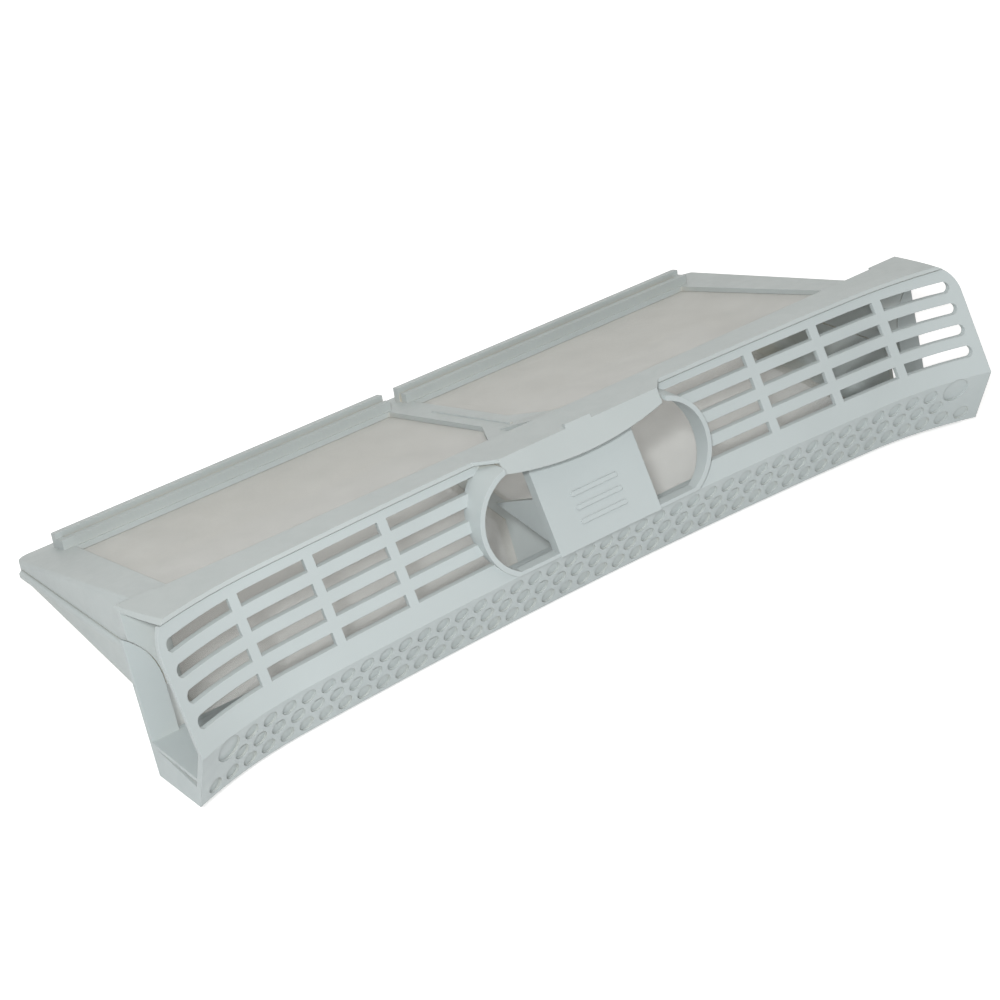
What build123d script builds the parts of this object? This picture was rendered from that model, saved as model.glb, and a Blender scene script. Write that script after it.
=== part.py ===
"""Tumble dryer lint filter: grille housing with a wedge-shaped mesh bag that opens at its far edge.

The filter is drawn in its design frame: X along the front, Y towards the far edge, Z up, with the
middle of the front crest at the origin and the seam of the bag horizontal. At the end every piece is
tilted onto the flat underside of the bag, as the filter lies on a table.
"""
import os
from math import asin, cos, radians, sin, sqrt, tan

from build123d import *

# Front face, plan view: a long flat arc that bends forward at both ends
FRONT_LENGTH = 376.0
FACE_RADIUS = 2080.0
END_RADIUS = 160.0
END_START = 140.0

# Front face, side view: crest to fold, fold to foot
FOLD_DROP = 41.8
FOLD_ADVANCE = 18.4
FOOT_DROP = 23.4
FOOT_RETREAT = 10.1
FACE_WALL = 2.2
BAND_WALL = 3.2

# Housing plates behind the face
PLATE = 2.0
THIN_PLATE = 1.5
SHELF_Z = -51.3
SHELF_SLOPE = 0.04
END_WALL_BITE = 0.3
END_WALL_SLOPE = 0.14
END_TOP = 3.0
END_ROUND = 12.0
HEEL_Y = 3.3
CREST_REAR_Y = 12.0
REAR_INNER = 177.0
REAR_ROUND = 25.0
REAR_ROUND_Z = -33.0

# Grille
SLOT_ROWS = 4
SLOT_HEIGHT = 4.5
SLOT_PITCH = 8.45
SLOT_TOP_Z = -4.6
SLOT_END = 4.0
BAR_WIDTH = 4.0
BAR_PITCH = 32.6
BAR_OUTER = 152.4
BARS_PER_SIDE = 3

# Dimples in the band below the fold
DIMPLE_DIAMETER = 6.2
DIMPLE_DEPTH = 1.2
DIMPLE_END = 7.4
DIMPLE_ROW_PITCH = 6.75
DIMPLE_TOP_Z = -46.9
DIMPLES_IN_ROW = (39, 40, 43)
END_DIMPLE_DIAMETER = 10.5
END_DIMPLE_X = 174.5

# Grip, and the finger openings with their collars, measured in the front view
GRIP_WIDTH = 48.4
GRIP_DEPTH = 5.0
GRIP_PROUD = 2.6
FINGER_X = 33.0
FINGER_Z = -22.3
FINGER_RADIUS = 19.6
FINGER_FLOOR_Z = -39.8
COLLAR_WALL = 2.0
COLLAR_FLOOR = 1.4
COLLAR_FOLD_PROUD = 1.8
COLLAR_LEAN = 0.18
GUSSET_X = 22.0
GUSSET_APEX = (18.6, -31.6)
GUSSET_TOP_Z = -20.7
GUSSET_FOOT_Z = -37.6
RIB_COUNT = 3
RIB_PITCH = 5.0
RIB_LENGTH = 22.0
RIB_WIDTH = 1.6
RIB_PROUD = 0.6
RIB_Z = -28.0

# Bag frames
BODY_WIDTH = 345.0
BODY_REACH = 133.0
BODY_CORNER = 6.5
FRAME_WALL = 2.0
TRAY_ROUND = 7.0
LID_ROUND = 1.5
SEAM_Z = -34.0
LID_FRONT_DROP = 5.3
LID_PLATE = 2.6
FAR_SKIRT = 1.9
TOP_SLOPE = 7.0
REST_TILT = 10.0
CHAMFER_Y = 112.0
CHAMFER_TOP_Z = -38.0
BEAD_HEIGHT = 3.6
BEAD_PROUD = 1.5

# Clearances
SEAM_GAP = 0.4
HOUSING_GAP = 1.0
LIP_GAP = 0.5
PIVOT_CLEARANCE = 0.08
KNUCKLE_GAP = 0.4

# Lid details: raised strip, latch lip made of a visor and an apron, thumb tab, spine and rail
STRIP_THICKNESS = 1.5
STRIP_END = 2.0
STRIP_OVERHANG = 0.7
STRIP_CORNER = 4.0
LIP_BACK_HALF = 45.6
LIP_HALF = 37.6
LIP_SHOULDER_Z = -4.4
LIP_MIDDLE_Z = -9.0
LIP_PROUD = 9.0
LIP_THICKNESS = 5.6
TAB_WIDTH = 12.0
TAB_LENGTH = 2.8
TAB_HEIGHT = 1.5
SPINE_WIDTH = 12.5
SPINE_FLARE = 16.0
SPINE_FLARE_LENGTH = 30.0
RAMP_Y = 36.0
RIDGE_WIDTH = 1.4
RIDGE_HEIGHT = 0.6
RIDGE_FAR_Y = 92.0
RAIL_HALF = 157.5
RAIL_SPLIT = 8.0
RAIL_NEAR_Y = 117.5
RAIL_STRIP = 3.8
RAIL_GROOVE = 1.8
RAIL_NEAR_HEIGHT = 4.0
RAIL_FAR_HEIGHT = 6.2
RAIL_END = 3.0

# Mesh screens
MESH_THICKNESS = 0.5
MESH_LAP = 2.5
WINDOW_FRONT_Y = 18.2
WINDOW_FAR_Y = 116.0
WINDOW_HALF_FRONT = 159.0
WINDOW_HALF_FAR = 153.0
FLOOR_FRONT_Y = 18.0
FLOOR_FAR_Y = 106.0

# Hinge
HINGE_X = 105.0
KNUCKLE_RADIUS = 2.8
KNUCKLE_LENGTH = 14.0
EAR_LENGTH = 6.0
PIVOT_RADIUS = 1.5
PIVOT_LENGTH = 5.0
HINGE_DROP = 1.2

# Sizes that follow
HALF = FRONT_LENGTH / 2
BODY_HALF = BODY_WIDTH / 2
FOOT_Z = -FOLD_DROP - FOOT_DROP
FACE_LEAN = FOLD_ADVANCE / FOLD_DROP
REAR_LEAN = (CREST_REAR_Y - HEEL_Y) / -FOOT_Z
CREST_MARGIN = 6.0
DEEP = 2 * BODY_REACH
GRIP_HALF = GRIP_WIDTH / 2
SLOT_OUTER = HALF - SLOT_END
STRIP_HALF = HALF - STRIP_END
DIMPLE_PITCH = (FRONT_LENGTH - 2 * DIMPLE_END) / (max(DIMPLES_IN_ROW) - 1)
LID_K = -(LID_FRONT_DROP + SEAM_Z + FAR_SKIRT) / BODY_REACH
TOP_K = tan(radians(TOP_SLOPE))
FLOOR_K = tan(radians(REST_TILT))
RAIL_FAR_Y = RAIL_NEAR_Y + 2 * RAIL_STRIP + RAIL_GROOVE
HINGE_Y = BODY_REACH + KNUCKLE_RADIUS + KNUCKLE_GAP
HINGE_Z = SEAM_Z - HINGE_DROP


def bend_depth(x):
    """How far the face stands behind (negative: ahead of) its middle at a distance x along the front."""
    turn = asin(END_START / FACE_RADIUS)
    if abs(x) <= END_START:
        return sqrt(FACE_RADIUS ** 2 - x ** 2) - FACE_RADIUS
    centre_x = END_START - END_RADIUS * sin(turn)
    centre_y = (FACE_RADIUS - END_RADIUS) * cos(turn) - FACE_RADIUS
    return centre_y + sqrt(END_RADIUS ** 2 - (abs(x) - centre_x) ** 2)


def bend_region():
    """Area behind the bent front, seen along one of its two faces."""
    def at(x):
        return (x, bend_depth(x))

    bend = (END_START + HALF) / 2
    return make_face([
        ThreePointArc(at(-HALF), at(-bend), at(-END_START)),
        ThreePointArc(at(-END_START), at(0), at(END_START)),
        ThreePointArc(at(END_START), at(bend), at(HALF)),
        Polyline(at(HALF), (HALF, DEEP), (-HALF, DEEP), at(-HALF)),
    ])


def behind_face(setback, band_setback=None):
    """All the room behind the folded front, with its slotted face and the band below it moved back."""
    if band_setback is None:
        band_setback = setback
    grille = Plane((0, setback, 0), x_dir=(1, 0, 0), z_dir=(0, FOLD_ADVANCE, FOLD_DROP))
    fold = (0, band_setback - FOLD_ADVANCE, -FOLD_DROP)
    band = Plane(fold, x_dir=(1, 0, 0), z_dir=(0, -FOOT_RETREAT, FOOT_DROP))
    room = extrude(grille * bend_region(), DEEP, both=True)
    room &= extrude(band * bend_region(), DEEP, both=True)
    return room & Pos(0, 0, FOOT_Z) * Box(FRONT_LENGTH, 4 * DEEP, CREST_MARGIN - FOOT_Z,
                                          align=(Align.CENTER, Align.CENTER, Align.MIN))


def along_x(points, x0, x1):
    """Prism with a side-view outline of (y, z) points, between two stations along X."""
    outline = Plane.YZ * make_face(Polyline(*points, close=True))
    return Pos(x0, 0, 0) * extrude(outline, x1 - x0)


def both_sides(solid):
    return solid + mirror(solid, about=Plane.YZ)


def front_prism(sketch):
    """Front-view sketch of (x, z) cut or drawn straight through the housing."""
    return extrude(Plane.XZ * sketch, DEEP, both=True)


def rear_y(z):
    """Rear plane of the housing, leaning back towards the crest."""
    return CREST_REAR_Y + REAR_LEAN * z


def lid_z(y):
    return -LID_FRONT_DROP - LID_K * y


def top_z(y):
    return -TOP_K * y


def floor_z(y):
    """Flat underside of the bag, which the filter rests on."""
    return FOOT_Z + FLOOR_K * (y - HEEL_Y)


def under_top(gap):
    """Everything below the plane of the raised front strip, less a gap."""
    front, back = -DEEP, DEEP
    return along_x([(front, top_z(front) - gap), (back, top_z(back) - gap), (back, -DEEP), (front, -DEEP)],
                   -FRONT_LENGTH, FRONT_LENGTH)


def apron_outline(grow):
    """Front view of the latch lip's apron, with a lower edge that bulges downwards."""
    half, shoulder, middle = LIP_HALF + grow, LIP_SHOULDER_Z - grow, LIP_MIDDLE_Z - grow
    return make_face([
        Polyline((half, shoulder), (half, CREST_MARGIN), (-half, CREST_MARGIN), (-half, shoulder)),
        ThreePointArc((-half, shoulder), (0, middle), (half, shoulder)),
    ])


def finger_outline(radius, floor):
    """Right-hand finger opening: a disc that stops at the grip and is cut level at its floor."""
    disc = Pos(FINGER_X, FINGER_Z) * Circle(radius)
    reach = 3 * radius
    return disc & Pos(GRIP_HALF, floor) * Rectangle(reach, reach, align=(Align.MIN, Align.MIN))


def collar():
    """Tube round the right-hand finger opening, cut slanting at the front and clear of the latch lip."""
    opening = finger_outline(FINGER_RADIUS, FINGER_FLOOR_Z)
    ring = finger_outline(FINGER_RADIUS + COLLAR_WALL, FINGER_FLOOR_Z - COLLAR_FLOOR) - opening
    edge = -FOLD_ADVANCE - COLLAR_FOLD_PROUD
    low, high = -FOLD_DROP - CREST_MARGIN, CREST_MARGIN
    room = along_x([(edge + COLLAR_LEAN * (low + FOLD_DROP), low), (DEEP, low), (DEEP, high),
                    (edge + COLLAR_LEAN * (high + FOLD_DROP), high)], 0, HALF)
    tube = (front_prism(ring) & room) - behind_face(FACE_WALL)
    lip_room = behind_face(-LIP_PROUD - DEEP / 2) - behind_face(LIP_GAP + LIP_THICKNESS - LIP_PROUD)
    return tube - (front_prism(apron_outline(LIP_GAP)) & lip_room)


def slot_sketch():
    """Front view of all grille slots on the right-hand side."""
    ends = [BAR_OUTER - BAR_PITCH * i for i in range(BARS_PER_SIDE)]
    inner = [x + BAR_WIDTH / 2 for x in ends] + [FINGER_X]
    outer = [SLOT_OUTER] + [x - BAR_WIDTH / 2 for x in ends]
    slots = Sketch()
    for row in range(SLOT_ROWS):
        z = SLOT_TOP_Z - SLOT_HEIGHT / 2 - row * SLOT_PITCH
        for x0, x1 in zip(inner, outer):
            slots += Pos((x0 + x1) / 2, z) * Rectangle(x1 - x0, SLOT_HEIGHT)
        slots -= Pos(SLOT_OUTER, z) * Rectangle(SLOT_HEIGHT, SLOT_HEIGHT)
        slots += Pos(SLOT_OUTER - SLOT_HEIGHT / 2, z) * Circle(SLOT_HEIGHT / 2)
    return slots - finger_outline(FINGER_RADIUS + COLLAR_WALL, FINGER_FLOOR_Z - COLLAR_FLOOR)


def dimple_sketch():
    """Front view of the staggered rows of dimples below the fold, and of the larger one at each end."""
    dimples = Sketch()
    for row, count in enumerate(DIMPLES_IN_ROW):
        z = DIMPLE_TOP_Z - row * DIMPLE_ROW_PITCH
        dimples += Pos(0, z) * GridLocations(DIMPLE_PITCH, 1, count, 1) * Circle(DIMPLE_DIAMETER / 2)
    ends = Pos(0, DIMPLE_TOP_Z) * GridLocations(2 * END_DIMPLE_X, 1, 2, 1)
    return dimples + ends * Circle(END_DIMPLE_DIAMETER / 2)


def wing_sketch(grow):
    """Front view of the right-hand rear plate, its inner edge curving outwards towards the crest."""
    inner, radius = REAR_INNER - grow, REAR_ROUND + grow
    plate = Pos(inner, FOOT_Z) * Rectangle(HALF - inner, -FOOT_Z, align=(Align.MIN, Align.MIN))
    tall = Pos(REAR_INNER + REAR_ROUND, REAR_ROUND_Z)
    stem = tall * Rectangle(2 * radius, DEEP, align=(Align.CENTER, Align.MAX))
    return plate & (stem + tall * Circle(radius))


def rear_layer(thickness, beyond):
    """Side view of a layer at the rear plane of the housing, reaching a little beyond it."""
    return [(rear_y(FOOT_Z) + beyond, FOOT_Z), (rear_y(0) + beyond, 0),
            (rear_y(0) - thickness, 0), (rear_y(FOOT_Z) - thickness, FOOT_Z)]


def rounded_ends():
    """Everything below the rounded upper corners of the front view."""
    front = Pos(0, END_TOP) * Rectangle(FRONT_LENGTH, DEEP, align=(Align.CENTER, Align.MAX))
    return front_prism(fillet(front.vertices().filter_by(lambda v: v.Y > 0), END_ROUND))


def front_housing():
    room = behind_face(FACE_WALL, BAND_WALL)
    inside = behind_face(FACE_WALL / 2)
    body = behind_face(0) - room
    body -= both_sides(front_prism(slot_sketch()))
    body -= front_prism(dimple_sketch()) - behind_face(DIMPLE_DEPTH)

    heel = [(rear_y(FOOT_Z), FOOT_Z), (rear_y(SHELF_Z), SHELF_Z),
            (rear_y(SHELF_Z) - PLATE, SHELF_Z), (rear_y(FOOT_Z) - PLATE, FOOT_Z)]
    shelf_back = SHELF_Z - THIN_PLATE
    shelf_drop = SHELF_SLOPE * (rear_y(SHELF_Z) + DEEP)
    shelf = [(-DEEP, SHELF_Z - shelf_drop), (rear_y(SHELF_Z), SHELF_Z), (rear_y(shelf_back), shelf_back),
             (-DEEP, shelf_back - shelf_drop)]
    foot_top = FOOT_Z + THIN_PLATE
    foot = [(-DEEP, FOOT_Z), (rear_y(FOOT_Z), FOOT_Z), (rear_y(foot_top), foot_top), (-DEEP, foot_top)]
    wall_back = shelf_back + END_WALL_BITE
    wall_front = -3 * FOLD_ADVANCE
    end_wall = [(wall_front, FOOT_Z), (rear_y(FOOT_Z), FOOT_Z), (rear_y(wall_back), wall_back),
                (wall_front, wall_back + END_WALL_SLOPE * (wall_front - rear_y(wall_back)))]
    body += along_x(heel, -HALF, HALF)
    body += both_sides(along_x(rear_layer(PLATE, 0), 0, HALF) & front_prism(wing_sketch(0)))
    body += (along_x(shelf, -HALF, HALF) + along_x(foot, -HALF, HALF)) & inside
    body += both_sides(along_x(end_wall, HALF - THIN_PLATE, HALF)) & inside

    body += both_sides(collar())
    body -= both_sides(front_prism(finger_outline(FINGER_RADIUS, FINGER_FLOOR_Z)))

    grip_z = FINGER_FLOOR_Z - COLLAR_FLOOR
    grip = Pos(0, grip_z / 2) * Rectangle(GRIP_WIDTH, -grip_z)
    body += front_prism(grip) & (behind_face(-GRIP_PROUD) - behind_face(GRIP_DEPTH - GRIP_PROUD))
    gusset = [GUSSET_APEX, (FACE_LEAN * GUSSET_TOP_Z, GUSSET_TOP_Z),
              (FACE_LEAN * GUSSET_FOOT_Z, GUSSET_FOOT_Z)]
    body += both_sides(along_x(gusset, GUSSET_X, GUSSET_X + PLATE))
    rib = SlotOverall(RIB_LENGTH, RIB_WIDTH)
    ribs = Sketch() + Pos(0, RIB_Z) * GridLocations(1, RIB_PITCH, 1, RIB_COUNT) * rib
    body += front_prism(ribs) & (behind_face(-GRIP_PROUD - RIB_PROUD) - inside)
    return body & under_top(STRIP_THICKNESS + SEAM_GAP) & rounded_ends()


def rounded_body(inset):
    """Upright prism with the plan outline of the bag and its rounded far corners."""
    plan = Rectangle(BODY_WIDTH - 2 * inset, DEEP, align=(Align.CENTER, Align.MAX))
    plan = Pos(0, BODY_REACH - inset) * plan
    far = plan.vertices().filter_by(lambda v: v.Y > 0)
    return extrude(fillet(far, BODY_CORNER - inset), DEEP, both=True)


def bag_outline(y, far, top, floor):
    """Side view of the tray, from the rear plane moved to a depth y up to its chamfered far edge."""
    heel = y + REAR_LEAN * FOOT_Z
    return [(y + REAR_LEAN * top, top), (far, top), (far, max(CHAMFER_TOP_Z, floor_z(far)) + floor),
            (CHAMFER_Y, floor_z(CHAMFER_Y) + floor), (heel, floor_z(heel) + floor)]


def window_outline(half_front, half_far, front, far, inner):
    """One mesh window in its own plane, on the right-hand side, with the spine flaring at the front."""
    return make_face(Polyline((inner + SPINE_FLARE, front), (half_front, front), (half_far, far),
                              (inner, far), (inner, front + SPINE_FLARE_LENGTH), close=True))


def lid_plane():
    return Plane((0, 0, -LID_FRONT_DROP), x_dir=(1, 0, 0), z_dir=(0, LID_K, 1))


def floor_plane():
    return Plane((0, 0, floor_z(0)), x_dir=(1, 0, 0), z_dir=(0, -FLOOR_K, 1))


def lid_window(grow):
    run = sqrt(1 + LID_K ** 2)
    return window_outline(WINDOW_HALF_FRONT + grow, WINDOW_HALF_FAR + grow, WINDOW_FRONT_Y * run - grow,
                          WINDOW_FAR_Y * run + grow, SPINE_WIDTH / 2 - grow)


def floor_window(grow):
    run = 1 / cos(radians(REST_TILT))
    return window_outline(WINDOW_HALF_FRONT + grow, WINDOW_HALF_FAR + grow, FLOOR_FRONT_Y * run - grow,
                          FLOOR_FAR_Y * run + grow, SPINE_WIDTH / 2 - grow)


def lower_frame():
    top = SEAM_Z - SEAM_GAP
    inner_half = BODY_HALF - FRAME_WALL
    outer = along_x(bag_outline(CREST_REAR_Y, BODY_REACH, top, 0), -BODY_HALF, BODY_HALF)
    inner = along_x(bag_outline(-DEEP, BODY_REACH - FRAME_WALL, 0, FRAME_WALL), -inner_half, inner_half)
    down_floor = Axis((0, 0, 0), (0, 1, FLOOR_K))
    outer = fillet(outer.edges().filter_by(down_floor), TRAY_ROUND)
    inner = fillet(inner.edges().filter_by(down_floor), TRAY_ROUND - FRAME_WALL)
    body = (outer & rounded_body(0)) - (inner & rounded_body(FRAME_WALL))
    bead = along_x([(CREST_REAR_Y + REAR_LEAN * top, top), (BODY_REACH - BODY_CORNER, top),
                    (BODY_REACH - BODY_CORNER, top - BEAD_HEIGHT),
                    (CREST_REAR_Y + REAR_LEAN * (top - BEAD_HEIGHT), top - BEAD_HEIGHT)],
                   BODY_HALF - FRAME_WALL / 2, BODY_HALF + BEAD_PROUD)
    body += both_sides(fillet(bead.edges().filter_by(Axis.X, reverse=True).filter_by(Axis.Y)
                              .group_by(Axis.X)[-1], BEAD_PROUD * 0.9))
    body -= both_sides(extrude(floor_plane() * floor_window(0), FRAME_WALL * 2, both=True))

    ear = Pos(0, HINGE_Y, HINGE_Z) * Rot(0, 90, 0) * Cylinder(KNUCKLE_RADIUS, EAR_LENGTH)
    ear += Pos(0, BODY_REACH - FRAME_WALL / 2, HINGE_Z) * Box(
        EAR_LENGTH, HINGE_Y - BODY_REACH + FRAME_WALL / 2, KNUCKLE_RADIUS,
        align=(Align.CENTER, Align.MIN, Align.MAX))
    step = (KNUCKLE_LENGTH + EAR_LENGTH) / 2 + KNUCKLE_GAP
    for hinge in (-HINGE_X, HINGE_X):
        for x in (hinge - step, hinge + step):
            body += Pos(x, 0, 0) * ear
        bore = Cylinder(PIVOT_RADIUS + PIVOT_CLEARANCE, 2 * step + EAR_LENGTH)
        body -= Pos(hinge, HINGE_Y, HINGE_Z) * Rot(0, 90, 0) * bore
    return body


def lid_shell():
    """Sloping top plate, side skirts and the short far edge."""
    front = rear_y(lid_z(CREST_REAR_Y)) + HOUSING_GAP
    outline = [(front, lid_z(front)), (BODY_REACH, lid_z(BODY_REACH)), (BODY_REACH, SEAM_Z),
               (rear_y(SEAM_Z) + HOUSING_GAP, SEAM_Z)]
    room = [(-DEEP, lid_z(-DEEP) - LID_PLATE), (DEEP, lid_z(DEEP) - LID_PLATE), (DEEP, -DEEP), (-DEEP, -DEEP)]
    shell = along_x(outline, -BODY_HALF, BODY_HALF)
    down_lid = Axis((0, 0, 0), (0, 1, -LID_K))
    shell = fillet(shell.edges().filter_by(down_lid), LID_ROUND) & rounded_body(0)
    return shell - (along_x(room, -BODY_HALF, BODY_HALF) & rounded_body(FRAME_WALL))


def front_strip():
    """Raised strip over the crest with its end flanges, its step down to the lid, the lip and the tab."""
    slab = under_top(0) - under_top(STRIP_THICKNESS)
    plan = Pos(0, CREST_REAR_Y) * Rectangle(2 * STRIP_HALF, DEEP, align=(Align.CENTER, Align.MAX))
    plan = fillet(plan.vertices().filter_by(lambda v: v.Y > 0), STRIP_CORNER)
    strip = slab & extrude(plan, DEEP, both=True) & behind_face(-STRIP_OVERHANG)
    step = [(CREST_REAR_Y, top_z(CREST_REAR_Y) - STRIP_THICKNESS / 2),
            (CREST_REAR_Y + FRAME_WALL, top_z(CREST_REAR_Y) - STRIP_THICKNESS),
            (CREST_REAR_Y + FRAME_WALL, lid_z(CREST_REAR_Y) - LID_PLATE),
            (CREST_REAR_Y, lid_z(CREST_REAR_Y) - LID_PLATE)]
    flange_half = BODY_HALF - FRAME_WALL
    flange_sketch = Rectangle(STRIP_HALF - flange_half, -SEAM_Z, align=(Align.MIN, Align.MIN))
    flange_sketch = Pos(flange_half, SEAM_Z) * flange_sketch - wing_sketch(SEAM_GAP)
    flange = along_x(rear_layer(PLATE, HOUSING_GAP + FRAME_WALL / 2), 0, HALF) & front_prism(flange_sketch)
    strip = (strip + (both_sides(flange) & under_top(0))) & rounded_ends()
    strip += along_x(step, -BODY_HALF, BODY_HALF)

    corners = [(LIP_BACK_HALF, CREST_REAR_Y / 2), (LIP_BACK_HALF, 0),
               (LIP_HALF, -LIP_PROUD), (LIP_HALF, -DEEP)]
    visor_plan = make_face(Polyline(*corners, *[(-x, y) for x, y in reversed(corners)], close=True))
    lip_room = behind_face(-LIP_PROUD)
    strip += slab & extrude(visor_plan, DEEP, both=True) & lip_room
    apron = front_prism(apron_outline(0)) & (lip_room - behind_face(LIP_THICKNESS - LIP_PROUD))
    strip += apron & under_top(0)
    tab_plan = Pos(0, TAB_LENGTH - LIP_PROUD) * Rectangle(TAB_WIDTH, DEEP, align=(Align.CENTER, Align.MAX))
    tab = under_top(-TAB_HEIGHT) - under_top(STRIP_THICKNESS / 2)
    return strip + (tab & extrude(tab_plan, DEEP, both=True) & lip_room)


def on_lid(y0, y1, base, height):
    """Side-view outline of a bar that stands on the lid between two depths."""
    return [(y0, lid_z(y0) - base), (y0, lid_z(y0) + height),
            (y1, lid_z(y1) + height), (y1, lid_z(y1) - base)]


def upper_frame():
    body = lid_shell() + front_strip()
    body -= both_sides(extrude(lid_plane() * lid_window(0), LID_PLATE * 2, both=True))

    half = LID_PLATE / 2
    ramp = [(CREST_REAR_Y, lid_z(CREST_REAR_Y) - half), (CREST_REAR_Y, top_z(CREST_REAR_Y)),
            (RAMP_Y, lid_z(RAMP_Y)), (RAMP_Y, lid_z(RAMP_Y) - half)]
    body += along_x(ramp, -SPINE_WIDTH / 2, SPINE_WIDTH / 2)
    ridge = on_lid(RAMP_Y, RIDGE_FAR_Y, half, RIDGE_HEIGHT)
    body += along_x(ridge, -RIDGE_WIDTH / 2, RIDGE_WIDTH / 2)

    near = on_lid(RAIL_NEAR_Y, RAIL_NEAR_Y + RAIL_STRIP, half, RAIL_NEAR_HEIGHT)
    far = on_lid(RAIL_FAR_Y - RAIL_STRIP, RAIL_FAR_Y, half, RAIL_FAR_HEIGHT)
    end = on_lid(RAIL_NEAR_Y, RAIL_FAR_Y, half, RAIL_NEAR_HEIGHT)
    for bar in (near, far):
        body += both_sides(along_x(bar, RAIL_SPLIT / 2, RAIL_HALF))
    body += both_sides(along_x(end, RAIL_HALF - RAIL_END, RAIL_HALF))

    axis = Pos(0, HINGE_Y, HINGE_Z) * Rot(0, 90, 0)
    knuckle = axis * Cylinder(KNUCKLE_RADIUS, KNUCKLE_LENGTH)
    knuckle += axis * Cylinder(PIVOT_RADIUS, KNUCKLE_LENGTH + 2 * PIVOT_LENGTH)
    arm = [(BODY_REACH - FRAME_WALL, SEAM_Z + SEAM_GAP), (HINGE_Y, HINGE_Z),
           (HINGE_Y, HINGE_Z + KNUCKLE_RADIUS), (BODY_REACH - FRAME_WALL, lid_z(BODY_REACH))]
    knuckle += along_x(arm, -KNUCKLE_LENGTH / 2, KNUCKLE_LENGTH / 2)
    for hinge in (-HINGE_X, HINGE_X):
        body += Pos(hinge, 0, 0) * knuckle
    return body


def mesh_screen(plane, outline, lift):
    return extrude(plane.offset(lift) * outline, MESH_THICKNESS)


def build():
    lid_mesh = mesh_screen(lid_plane(), lid_window(MESH_LAP), -LID_PLATE)
    floor_mesh = mesh_screen(floor_plane(), floor_window(MESH_LAP), FRAME_WALL - MESH_THICKNESS)
    upper = upper_frame() - both_sides(lid_mesh)
    lower = lower_frame() - both_sides(floor_mesh)
    pieces = {
        "front_housing": front_housing(),
        "lower_frame": lower,
        "upper_frame": upper,
        "upper_mesh_right": lid_mesh,
        "upper_mesh_left": mirror(lid_mesh, about=Plane.YZ),
        "lower_mesh_right": floor_mesh,
        "lower_mesh_left": mirror(floor_mesh, about=Plane.YZ),
    }
    tilted = {name: Rot(-REST_TILT, 0, 0) * piece for name, piece in pieces.items()}
    boxes = [piece.bounding_box() for piece in tilted.values()]
    near, far = min(box.min.Y for box in boxes), max(box.max.Y for box in boxes)
    place = Pos(0, -(near + far) / 2, -min(box.min.Z for box in boxes))
    return {name: place * piece for name, piece in tilted.items()}


os.makedirs("parts", exist_ok=True)
for node, shape in build().items():
    export_step(shape, f"parts/{node}.step")
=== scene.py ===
"""Studio scene of a tumble dryer lint filter: finishes, stretched mesh screens, floor and light.

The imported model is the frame. Its mouldings stay as they are and get their plastic here; the four
thin panels of the screens are replaced by woven cloth that is stretched in the same rebates.
"""
from math import atan2, pi, radians

import bpy
from bpy.props import FloatProperty, FloatVectorProperty, IntProperty, PointerProperty
from mathutils import Matrix, Vector


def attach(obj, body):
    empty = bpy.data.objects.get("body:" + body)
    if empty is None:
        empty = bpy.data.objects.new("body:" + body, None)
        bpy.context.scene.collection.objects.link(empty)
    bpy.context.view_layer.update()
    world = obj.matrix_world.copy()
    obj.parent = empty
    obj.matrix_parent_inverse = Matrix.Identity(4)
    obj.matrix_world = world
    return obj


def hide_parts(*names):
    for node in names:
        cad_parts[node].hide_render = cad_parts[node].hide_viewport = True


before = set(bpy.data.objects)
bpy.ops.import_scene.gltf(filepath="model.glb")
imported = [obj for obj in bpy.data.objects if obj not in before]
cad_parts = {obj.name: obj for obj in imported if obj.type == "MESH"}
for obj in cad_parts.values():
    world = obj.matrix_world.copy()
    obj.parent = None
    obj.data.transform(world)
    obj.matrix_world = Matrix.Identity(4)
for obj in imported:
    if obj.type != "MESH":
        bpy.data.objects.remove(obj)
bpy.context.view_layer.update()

bl_info = {
    "name": "Lint filter scene",
    "version": (1, 0, 0),
    "blender": (4, 5, 0),
    "location": "View3D > Sidebar > Lint filter",
    "description": "Finishes, mesh screens and studio for a tumble dryer lint filter",
    "category": "Object",
}

# Lengths are in metres, and noise scales are per metre. A ramp, NAME_TO_NAME, holds the two ends of
# the value that goes in and then the two ends of the value that comes out.

# Screens: piece, panel that it replaces, body that it rides on, moulding that holds it
SCREENS = (
    ("lid_screen_left", "upper_mesh_left", "lid", "upper_frame"),
    ("lid_screen_right", "upper_mesh_right", "lid", "upper_frame"),
    ("tray_screen_left", "lower_mesh_left", "base", "lower_frame"),
    ("tray_screen_right", "lower_mesh_right", "base", "lower_frame"),
)
FLAT = 1e-6                # depths of a panel's corners closer than this count as equal
CORNER_DIGITS = 6          # decimals that a panel's corners are rounded to
SMOOTH_ANGLE = radians(40)  # cloth that bends by less than this is shaded smooth

# Skin of the mouldings
GRAIN_SCALE = 1500.0
GRAIN_STRENGTH = 0.10
GRAIN_HEIGHT = 0.0002
CLOUD_SCALE = 16.0
RUBS_PER_CLOUD = 9.0
RUB_DISTORTION = 1.2
CLOUD_TO_TONE = (0.3, 0.7, 0.955, 1.03)
RUB_TO_ROUGHNESS = (0.35, 0.7, -0.06, 0.08)
GRAIN_TO_ROUGHNESS = (0.3, 0.7, -0.03, 0.03)
PLASTIC_SPECULAR = 0.4

# Edges of the mouldings: how strongly and how far towards white they are made paler, as wear and as
# a painted highlight
EDGE_SAMPLES = 6
BEND_TO_EDGE = (0.99, 0.75, 0.0, 1.0)
EDGE_WEAR_AND_HIGHLIGHT = 0.22
EDGE_PALENESS = 0.35
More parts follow.
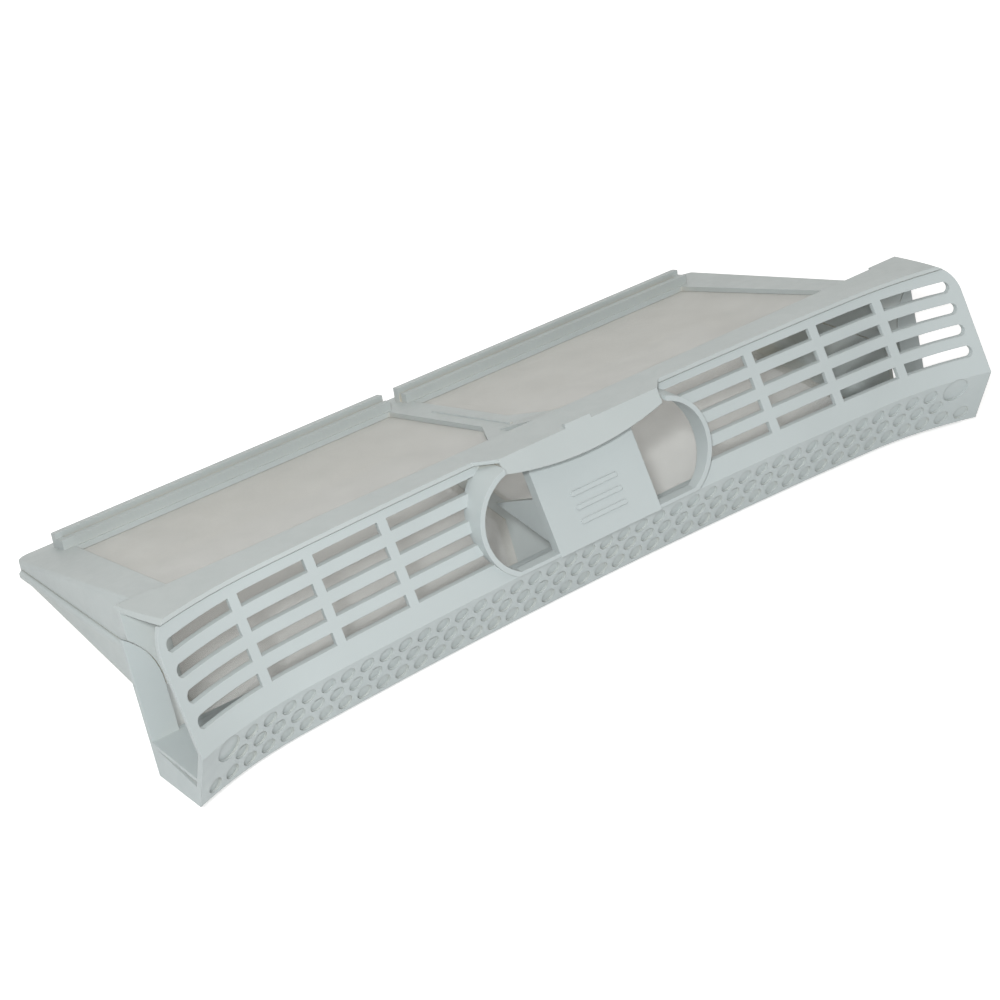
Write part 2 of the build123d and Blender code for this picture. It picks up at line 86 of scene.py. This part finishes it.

# Painted warm shade: a tan tint where a surface is enclosed; how far it looks for walls around it,
# and how much each moulding gets
SHADE_SAMPLES = 8
SHADE_REACH = 0.045
SHADE_CLOUD_SCALE = 45.0
OPENNESS_TO_SHADE = (0.45, 0.08, 0.0, 1.0)
CLOUD_TO_SHADE = (0.3, 0.65, 0.6, 1.0)
HOUSING_SHADE = 0.3
BAG_SHADE = 0.9

# Weave: width and soft border of a thread as shares of its wave, and its height at a crossing
THREAD_WIDTH = 0.25
THREAD_BORDER = 0.16
UNDER_HEIGHT = 0.5
OVER_HEIGHT = 1.5
CROSSING_TO_OVER = (-0.4, 0.4, 0.0, 1.0)
SLUB_SCALE = 60.0
SLUB_TO_TONE = (0.3, 0.7, 0.95, 1.04)
WEAVE_STRENGTH = 0.35
WEAVE_HEIGHT = 0.0001
HEIGHT_TO_ROUGHNESS = (0.0, 1.0, 0.85, 0.65)
THREAD_TO_COVER = (0.0, 1.0, 0.25, 0.9)
SEEN_TO_COVER = (0.0, 1.0, 0.2, 1.0)
SHEEN = 0.08
SHEEN_ROUGHNESS = 0.4

# Floor: just under the part, and a glow that grows with the distance from it
FLOOR_DROP = 0.0002
FLOOR_ROUGHNESS = 0.9
FLOOR_SPECULAR = 0.1
DISTANCE_TO_GLOW = (0.4, 1.8, 0.55, 0.8)

# Camera: where it stands, and the directions of the picture's right edge and upper edge
CAMERA_PLACE = Vector((-0.4634, -0.63268, 0.55275))
CAMERA_RIGHT = Vector((0.7932, -0.60824, -0.02955))
CAMERA_UP = Vector((0.36818, 0.44035, 0.81887))
SENSOR_WIDTH = 36.0  # millimetres
CLIP_START = 0.01

# Lamps: name, place, side of the square lamp, share of the lamp power, tint
LAMPS = (
    ("key_lamp", (-0.68, -0.735, 0.85), 0.1, 0.9, (0.97, 0.99, 1.0)),
    ("front_lamp", (-0.57, -0.774, 0.68), 0.14, 0.24, (0.97, 0.99, 1.0)),
    ("top_lamp", (0.25, 0.45, 1.7), 1.8, 0.85, (1.0, 0.95, 0.87)),
)
LAMP_TARGET = Vector((0.0, 0.0, 0.02))

WHITE = (1, 1, 1, 1)


def colour_property(name, description, default):
    return FloatVectorProperty(name=name, description=description, subtype="COLOR", size=3,
                               min=0, max=1, default=default)


class LintScreenSettings(bpy.types.PropertyGroup):
    """Sizes and colour of the woven screens."""
    thickness: FloatProperty(name="Cloth thickness", description="Thickness of the woven cloth",
                             default=0.00036, min=0.0001, max=0.0005, precision=5, unit="LENGTH")
    sag: FloatProperty(name="Sag", description="How far a screen's middle hangs below its frame",
                       default=0.0007, min=0, max=0.003, precision=5, unit="LENGTH")
    held: FloatProperty(name="Held border", description="Share of each side held in the rebate",
                        default=0.04, min=0, max=0.2, subtype="FACTOR")
    columns: IntProperty(name="Columns", description="Divisions of a screen along the front",
                         default=40, min=4)
    rows: IntProperty(name="Rows", description="Divisions of a screen from front to far edge",
                      default=26, min=4)
    pitch: FloatProperty(name="Thread pitch", description="Distance between neighbouring threads",
                         default=0.0005, min=0.0002, max=0.003, precision=5, unit="LENGTH")
    thread: colour_property("Thread colour", "Colour of the woven threads", (0.61, 0.615, 0.59))


class LintPlasticSettings(bpy.types.PropertyGroup):
    """Colours and surface of the mouldings."""
    housing: colour_property("Housing colour", "Plastic of the grille housing",
                             (0.48, 0.525, 0.525))
    bag: colour_property("Frame colour", "Plastic of the lid and the tray", (0.48, 0.52, 0.515))
    # painted warm shade: the tan that enclosed surfaces are tinted towards
    dust: colour_property("Lint dust", "Tint of fine dust on the inside", (0.66, 0.60, 0.48))
    edge: FloatProperty(name="Edge softness", description="Radius of the softened moulding edges",
                        default=0.0003, min=0, max=0.002, precision=5, unit="LENGTH")
    roughness: FloatProperty(name="Roughness", description="Roughness of the moulded skin",
                             default=0.5, min=0, max=1, subtype="FACTOR")


class LintStageSettings(bpy.types.PropertyGroup):
    """Floor, lamps and lens."""
    floor: colour_property("Floor colour", "Colour of the pale floor", (0.78, 0.78, 0.78))
    floor_size: FloatProperty(name="Floor size", description="Side of the square floor",
                              default=8.0, min=1, unit="LENGTH")
    sky: FloatProperty(name="Sky", description="Strength of the even light from all round",
                       default=0.34, min=0)
    lamp: FloatProperty(name="Lamp power", description="Power that each lamp takes its share of",
                        default=9.6, min=0, unit="POWER")
    lens: FloatProperty(name="Lens", description="Focal length in millimetres", default=86.4,
                        min=20, max=300)


def deselect():
    if bpy.context.object and bpy.context.object.mode != "OBJECT":
        bpy.ops.object.mode_set(mode="OBJECT")
    bpy.ops.object.select_all(action="DESELECT")


def find_input(node, key):
    """An input by its place, as in i2, or by its name with _ for each space."""
    if key[0] == "i" and key[1:].isdigit():
        return node.inputs[int(key[1:])]
    return node.inputs[key.replace("_", " ")]


def add_node(tree, kind, settings=None, **sockets):
    """A node with its settings and the values or links of its inputs."""
    made = tree.nodes.new(kind)
    for key, value in (settings or {}).items():
        setattr(made, key, value)
    for key, value in sockets.items():
        socket = find_input(made, key)
        if isinstance(value, bpy.types.NodeSocket):
            tree.links.new(value, socket)
        else:
            socket.default_value = value
    return made


def math(tree, operation, a, b=0.0):
    return add_node(tree, "ShaderNodeMath", {"operation": operation}, i0=a, i1=b).outputs[0]


def ramp(tree, value, low, high, to_low, to_high, kind="LINEAR"):
    """A value carried from one range to another, held at both ends."""
    return add_node(tree, "ShaderNodeMapRange", {"interpolation_type": kind}, i0=value, i1=low,
                    i2=high, i3=to_low, i4=to_high).outputs[0]


def noise(tree, place, scale, detail, distortion=0.0):
    return add_node(tree, "ShaderNodeTexNoise", Vector=place, Scale=scale, Detail=detail,
                    Distortion=distortion).outputs[0]


def bump(tree, height, **values):
    return add_node(tree, "ShaderNodeBump", Height=height, **values).outputs[0]


def blend_colour(tree, kind, factor, a, b):
    return add_node(tree, "ShaderNodeMix", {"data_type": "RGBA", "blend_type": kind}, i0=factor,
                    i6=a, i7=b).outputs[2]


def toned(tree, colour, tone):
    """A colour made lighter or darker by a tone."""
    grey = add_node(tree, "ShaderNodeCombineColor", i0=tone, i1=tone, i2=tone).outputs[0]
    return blend_colour(tree, "MULTIPLY", 1.0, colour, grey)


def new_group(name, inputs, outputs):
    """An empty shader group with its named sockets, and its input and output nodes."""
    group = bpy.data.node_groups.new(name, "ShaderNodeTree")
    for kind, sockets in (("INPUT", inputs), ("OUTPUT", outputs)):
        for label, socket_type in sockets.items():
            group.interface.new_socket(label, in_out=kind, socket_type="NodeSocket" + socket_type)
    given = group.nodes.new("NodeGroupInput").outputs
    return group, given, group.nodes.new("NodeGroupOutput").inputs


def place_group(tree, build, **values):
    """The group of a builder, made when first asked for, with the values that it has here."""
    group = bpy.data.node_groups.get(build.__name__) or build()
    return add_node(tree, "ShaderNodeGroup", {"node_tree": group}, **values).outputs


def moulded_skin():
    """Fine spark-eroded grain with a slow change of tone and gloss."""
    group, given, out = new_group(
        "moulded_skin", {"Grain": "Float", "Cloud": "Float", "Gloss": "Float"},
        {"Height": "Float", "Tone": "Float", "Roughness": "Float"})
    place = add_node(group, "ShaderNodeTexCoord").outputs["Object"]
    grain = noise(group, place, given["Grain"], detail=2.0)
    cloud = noise(group, place, given["Cloud"], detail=4.0)
    rub_scale = math(group, "MULTIPLY", given["Cloud"], RUBS_PER_CLOUD)
    rub = noise(group, place, rub_scale, detail=3.0, distortion=RUB_DISTORTION)
    spread = math(group, "ADD", ramp(group, rub, *RUB_TO_ROUGHNESS),
                  ramp(group, grain, *GRAIN_TO_ROUGHNESS))
    group.links.new(grain, out["Height"])
    group.links.new(ramp(group, cloud, *CLOUD_TO_TONE), out["Tone"])
    group.links.new(math(group, "ADD", given["Gloss"], spread), out["Roughness"])
    return group


def soft_edges():
    """Softened moulding edges: a rounded normal, and a mask of where an edge is."""
    group, given, out = new_group("soft_edges", {"Radius": "Float"},
                                  {"Normal": "Vector", "Edge": "Float"})
    rounded = add_node(group, "ShaderNodeBevel", {"samples": EDGE_SAMPLES},
                       Radius=given["Radius"]).outputs[0]
    flat = add_node(group, "ShaderNodeNewGeometry").outputs["True Normal"]
    bend = add_node(group, "ShaderNodeVectorMath", {"operation": "DOT_PRODUCT"}, i0=rounded,
                    i1=flat).outputs["Value"]
    group.links.new(rounded, out["Normal"])
    group.links.new(ramp(group, bend, *BEND_TO_EDGE), out["Edge"])
    return group


def painted_warm_shade():
    """Painted warm shade: a tan tint where the surface is enclosed, broken up into soft clouds."""
    group, given, out = new_group(
        "painted_warm_shade", {"Clean": "Color", "Dust": "Color", "Reach": "Float", "Amount": "Float"},
        {"Color": "Color"})
    openness = add_node(group, "ShaderNodeAmbientOcclusion", {"samples": SHADE_SAMPLES},
                        Distance=given["Reach"]).outputs["AO"]
    place = add_node(group, "ShaderNodeTexCoord").outputs["Object"]
    cloud = noise(group, place, SHADE_CLOUD_SCALE, detail=4.0)
    share = math(group, "MULTIPLY", ramp(group, openness, *OPENNESS_TO_SHADE),
                 ramp(group, cloud, *CLOUD_TO_SHADE))
    share = math(group, "MULTIPLY", share, given["Amount"])
    warm_shaded = blend_colour(group, "MIX", share, given["Clean"], given["Dust"])
    group.links.new(warm_shaded, out["Color"])
    return group


def plain_weave():
    """Plain weave on the cloth's own map: where the threads are, and how high they stand."""
    group, given, out = new_group("plain_weave", {"Pitch": "Float", "Width": "Float"},
                                  {"Thread": "Float", "Height": "Float", "Tone": "Float"})
    cloth = add_node(group, "ShaderNodeUVMap").outputs[0]
    split = add_node(group, "ShaderNodeSeparateXYZ", Vector=cloth).outputs
    turns = [math(group, "DIVIDE", split[axis], given["Pitch"]) for axis in (0, 1)]
    waves = [math(group, "SINE", math(group, "MULTIPLY", turn, pi)) for turn in turns]
    crowns = [math(group, "ABSOLUTE", wave) for wave in waves]
    over = ramp(group, math(group, "MULTIPLY", *waves), *CROSSING_TO_OVER)
    edge = math(group, "SUBTRACT", 1.0, given["Width"])
    full = math(group, "ADD", edge, THREAD_BORDER)
    covers = [ramp(group, crown, edge, full, 0.0, 1.0, "SMOOTHSTEP") for crown in crowns]
    warp = math(group, "MULTIPLY", covers[0], math(group, "ADD", UNDER_HEIGHT, over))
    weft = math(group, "MULTIPLY", covers[1], math(group, "SUBTRACT", OVER_HEIGHT, over))
    slub = noise(group, cloth, SLUB_SCALE, detail=3.0)
    group.links.new(math(group, "MAXIMUM", *covers), out["Thread"])
    group.links.new(math(group, "MAXIMUM", warp, weft), out["Height"])
    group.links.new(ramp(group, slub, *SLUB_TO_TONE), out["Tone"])
    return group


def new_material(name):
    material = bpy.data.materials.new(name)
    material.use_nodes = True
    tree = material.node_tree
    return material, tree, tree.nodes["Principled BSDF"]


def moulded_plastic(name, colour, shade_amount):
    """Satin moulded plastic: grained skin, softened edges that catch light and are made paler as
    wear and as a painted highlight, and painted warm shade on the inside.
    """
    settings = bpy.context.scene.lint_plastic
    material, tree, shader = new_material(name)
    skin = place_group(tree, moulded_skin, Grain=GRAIN_SCALE, Cloud=CLOUD_SCALE,
                       Gloss=settings.roughness)
    edges = place_group(tree, soft_edges, Radius=settings.edge)
    # Edges made paler towards white: wear, and a painted highlight along every edge
    pale = tuple(EDGE_PALENESS + (1 - EDGE_PALENESS) * part for part in colour)
    worn_and_highlighted = math(tree, "MULTIPLY", edges["Edge"], EDGE_WEAR_AND_HIGHLIGHT)
    base = toned(tree, (*colour, 1.0), skin["Tone"])
    base = blend_colour(tree, "MIX", worn_and_highlighted, base, (*pale, 1.0))
    # painted warm shade: enclosed surfaces tinted tan
    warm_shaded = place_group(tree, painted_warm_shade, Clean=base, Dust=(*settings.dust, 1.0),
                        Reach=SHADE_REACH, Amount=shade_amount)
    grained = bump(tree, skin["Height"], Strength=GRAIN_STRENGTH, Distance=GRAIN_HEIGHT,
                   Normal=edges["Normal"])
    tree.links.new(warm_shaded["Color"], shader.inputs["Base Color"])
    tree.links.new(skin["Roughness"], shader.inputs["Roughness"])
    tree.links.new(grained, shader.inputs["Normal"])
    shader.inputs["Specular IOR Level"].default_value = PLASTIC_SPECULAR
    return material


def woven_mesh(name):
    """Fine plain-woven synthetic mesh: light passes between its threads."""
    settings = bpy.context.scene.lint_screens
    material, tree, shader = new_material(name)
    weave = place_group(tree, plain_weave, Pitch=settings.pitch, Width=THREAD_WIDTH)
    base = toned(tree, (*settings.thread, 1.0), weave["Tone"])
    woven = bump(tree, weave["Height"], Strength=WEAVE_STRENGTH, Distance=WEAVE_HEIGHT)
    cover = ramp(tree, weave["Thread"], *THREAD_TO_COVER)
    seen = tree.nodes.new("ShaderNodeLightPath").outputs["Is Camera Ray"]
    held_back = ramp(tree, seen, *SEEN_TO_COVER)
    rough = ramp(tree, weave["Height"], *HEIGHT_TO_ROUGHNESS)
    tree.links.new(base, shader.inputs["Base Color"])
    tree.links.new(rough, shader.inputs["Roughness"])
    tree.links.new(math(tree, "MULTIPLY", cover, held_back), shader.inputs["Alpha"])
    tree.links.new(woven, shader.inputs["Normal"])
    shader.inputs["Sheen Weight"].default_value = SHEEN
    shader.inputs["Sheen Roughness"].default_value = SHEEN_ROUGHNESS
    return material


def put_finish(node, material):
    """One finish on every slot of a moulding."""
    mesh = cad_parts[node].data
    if not mesh.materials:
        mesh.materials.append(material)
    for index in range(len(mesh.materials)):
        mesh.materials[index] = material


def panel_corners(node):
    """Corners of the surface halfway through a panel."""
    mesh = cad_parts[node].data
    normal = max(mesh.polygons, key=lambda face: face.area).normal.copy()
    places = {tuple(round(part, CORNER_DIGITS) for part in v.co) for v in mesh.vertices}
    corners = sorted((Vector(place) for place in places), key=lambda c: c.dot(normal))
    half = len(corners) // 2
    low, high = corners[:half], corners[half:]
    return [(c + min(high, key=lambda h: (h - c).length)) / 2 for c in low]


class Panel:
    """Flat outline of a panel: how far it reaches along the front at each depth."""

    def __init__(self, node):
        corners = panel_corners(node)
        self.near = min(corners, key=lambda c: c.y)
        far = max(corners, key=lambda c: c.y)
        self.slope = ((far - self.near) * Vector((0, 1, 1))).normalized()
        self.marks = [(c.x, (c - self.near).dot(self.slope)) for c in corners]
        self.length = max(depth for _, depth in self.marks)

    def span(self, depth):
        """Both ends of the outline at a depth."""
        reach = []
        for x0, d0 in self.marks:
            for x1, d1 in self.marks:
                if d0 - FLAT <= depth <= d1 + FLAT and d1 - d0 > FLAT:
                    share = min(max((depth - d0) / (d1 - d0), 0.0), 1.0)
                    reach.append(x0 + (x1 - x0) * share)
        return min(reach), max(reach)

    def point(self, u, v):
        """The place at a share of the width and a share of the depth."""
        left, right = self.span(v * self.length)
        place = self.near + self.slope * (v * self.length)
        place.x = left + (right - left) * u
        return place

    def width(self):
        return max(x for x, _ in self.marks) - min(x for x, _ in self.marks)

    def area(self):
        """Area inside the corners, taken in their order round the middle."""
        centre = Vector([sum(part) / len(self.marks) for part in zip(*self.marks)])
        ring = sorted(self.marks, key=lambda m: atan2(m[1] - centre.y, m[0] - centre.x))
        turns = zip(ring, ring[1:] + ring[:1])
        return abs(sum(x0 * d1 - x1 * d0 for (x0, d0), (x1, d1) in turns)) / 2


def hang(share, held):
    """0 where the cloth is held at its borders, rising smoothly to 1 in the middle."""
    free = min(max((share - held) / (1 - 2 * held), 0.0), 1.0)
    return (4 * free * (1 - free)) ** 2


def stretched_screen(piece, node):
    """One screen of cloth in its panel's place, with a slight sag, and its flat size and area."""
    settings = bpy.context.scene.lint_screens
    panel = Panel(node)
    deselect()
    bpy.ops.mesh.primitive_grid_add(x_subdivisions=settings.columns,
                                    y_subdivisions=settings.rows, size=1)
    cloth = bpy.context.object
    cloth.name = cloth.data.name = piece
    for vertex in cloth.data.vertices:
        u, v = vertex.co.x + 0.5, vertex.co.y + 0.5
        sag = settings.sag * hang(u, settings.held) * hang(v, settings.held)
        vertex.co = panel.point(u, v) - Vector((0, 0, sag))
    layer = cloth.data.uv_layers.active.data
    for loop in cloth.data.loops:
        point = cloth.data.vertices[loop.vertex_index].co
        layer[loop.index].uv = (point.x, (point - panel.near).dot(panel.slope))
    wall = cloth.modifiers.new("cloth", "SOLIDIFY")
    wall.thickness, wall.offset = settings.thickness, 0.0
    bpy.ops.object.modifier_apply(modifier=wall.name)
    bpy.ops.object.mode_set(mode="EDIT")
    bpy.ops.mesh.select_all(action="SELECT")
    bpy.ops.mesh.normals_make_consistent(inside=False)
    bpy.ops.object.mode_set(mode="OBJECT")
    bpy.ops.object.shade_smooth_by_angle(angle=SMOOTH_ANGLE)
    return cloth, (panel.width(), panel.length), panel.area()


class LINT_OT_housing(bpy.types.Operator):
    """Give the grille housing its moulded plastic"""
    bl_idname = "lint.housing"
    bl_label = "Grille housing"

    def execute(self, context):
        colour = tuple(context.scene.lint_plastic.housing)
        put_finish("front_housing", moulded_plastic("housing_plastic", colour, HOUSING_SHADE))
        return {"FINISHED"}


class LINT_OT_bag_frames(bpy.types.Operator):
    """Give the lid and the tray of the bag their moulded plastic"""
    bl_idname = "lint.bag_frames"
    bl_label = "Lid and tray"

    def execute(self, context):
        colour = tuple(context.scene.lint_plastic.bag)
        finish = moulded_plastic("frame_plastic", colour, BAG_SHADE)
        for node in ("upper_frame", "lower_frame"):
            put_finish(node, finish)
        return {"FINISHED"}


class LINT_OT_screens(bpy.types.Operator):
    """Stretch woven mesh in the four windows of the bag"""
    bl_idname = "lint.screens"
    bl_label = "Mesh screens"

    def execute(self, context):
        finish = woven_mesh("screen_mesh")
        for piece, node, body, moulding in SCREENS:
            cloth, flat, area = stretched_screen(piece, node)
            cloth.data.materials.append(finish)
            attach(cloth, body)
            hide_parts(node)
        return {"FINISHED"}


class LINT_OT_stage(bpy.types.Operator):
    """Set up the floor, the lamps, the surroundings and the camera"""
    bl_idname = "lint.stage"
    bl_label = "Studio"

    def execute(self, context):
        settings = context.scene.lint_stage
        self.lay_floor(settings)
        self.hang_lamps(settings)
        self.light_room(context.scene, settings)
        self.stand_camera(context.scene, settings)
        context.scene.view_settings.view_transform = "Standard"
        return {"FINISHED"}

    def lay_floor(self, settings):
        """A pale floor that keeps the part's shadow and fades to white away from it."""
        deselect()
        bpy.ops.mesh.primitive_plane_add(size=settings.floor_size, location=(0, 0, -FLOOR_DROP))
        floor = bpy.context.object
        floor.name = floor.data.name = "floor"
        material, tree, shader = new_material("pale_floor")
        shader.inputs["Base Color"].default_value = (*settings.floor, 1.0)
        shader.inputs["Roughness"].default_value = FLOOR_ROUGHNESS
        shader.inputs["Specular IOR Level"].default_value = FLOOR_SPECULAR
        shader.inputs["Emission Color"].default_value = WHITE
        place = add_node(tree, "ShaderNodeTexCoord").outputs["Object"]
        distance = add_node(tree, "ShaderNodeVectorMath", {"operation": "LENGTH"},
                            i0=place).outputs["Value"]
        glow = math(tree, "MULTIPLY", self.seen_ray(tree), ramp(tree, distance, *DISTANCE_TO_GLOW))
        tree.links.new(glow, shader.inputs["Emission Strength"])
        floor.data.materials.append(material)

    def seen_ray(self, tree):
        """1 for what the camera sees directly, in a reflection or through something clear."""
        light_path = tree.nodes.new("ShaderNodeLightPath").outputs
        seen = math(tree, "MAXIMUM", light_path["Is Camera Ray"], light_path["Is Glossy Ray"])
        return math(tree, "MAXIMUM", seen, light_path["Is Transmission Ray"])

    def hang_lamps(self, settings):
        for name, place, side, share, tint in LAMPS:
            deselect()
            aim = (LAMP_TARGET - Vector(place)).to_track_quat("-Z", "Y").to_euler()
            bpy.ops.object.light_add(type="AREA", location=place, rotation=aim)
            lamp = bpy.context.object
            lamp.name = lamp.data.name = name
            lamp.data.shape = "SQUARE"
            lamp.data.size = side
            lamp.data.energy = settings.lamp * share
            lamp.data.color = tint

    def light_room(self, scene, settings):
        """Even light from all round, behind a background that is seen as white."""
        world = bpy.data.worlds.new("room")
        scene.world = world
        world.use_nodes = True
        tree = world.node_tree
        tree.nodes.clear()
        even, white = [
            add_node(tree, "ShaderNodeBackground", Color=WHITE, Strength=strength).outputs[0]
            for strength in (settings.sky, 1.0)]
        mixed = add_node(tree, "ShaderNodeMixShader", i0=self.seen_ray(tree), i1=even, i2=white)
        add_node(tree, "ShaderNodeOutputWorld", Surface=mixed.outputs[0])

    def stand_camera(self, scene, settings):
        deselect()
        back = CAMERA_RIGHT.cross(CAMERA_UP)
        turn = Matrix((CAMERA_RIGHT, CAMERA_UP, back)).transposed().to_euler()
        bpy.ops.object.camera_add(location=CAMERA_PLACE, rotation=turn)
        camera = bpy.context.object
        camera.name = camera.data.name = "camera"
        camera.data.sensor_width = SENSOR_WIDTH
        camera.data.lens = settings.lens
        camera.data.clip_start = CLIP_START
        scene.camera = camera


class LINT_PT_panel(bpy.types.Panel):
    """Pieces of the lint filter"""
    bl_label = "Lint filter"
    bl_idname = "LINT_PT_panel"
    bl_space_type = "VIEW_3D"
    bl_region_type = "UI"
    bl_category = "Lint filter"

    def draw(self, context):
        layout = self.layout
        for operator in PIECES:
            layout.operator(operator.bl_idname)
        for name in GROUPS:
            group = getattr(context.scene, name)
            box = layout.box()
            for key in group.__annotations__:
                box.prop(group, key)


PIECES = (LINT_OT_housing, LINT_OT_bag_frames, LINT_OT_screens, LINT_OT_stage)
GROUPS = {
    "lint_plastic": LintPlasticSettings,
    "lint_screens": LintScreenSettings,
    "lint_stage": LintStageSettings,
}
CLASSES = (*GROUPS.values(), *PIECES, LINT_PT_panel)


def register():
    for cls in CLASSES:
        bpy.utils.register_class(cls)
    for name, group in GROUPS.items():
        setattr(bpy.types.Scene, name, PointerProperty(type=group))


def unregister():
    for name in GROUPS:
        delattr(bpy.types.Scene, name)
    for cls in reversed(CLASSES):
        bpy.utils.unregister_class(cls)


def main():
    register()
    bpy.ops.lint.housing()
    bpy.ops.lint.bag_frames()
    bpy.ops.lint.screens()
    bpy.ops.lint.stage()


if __name__ == "__main__":
    main()
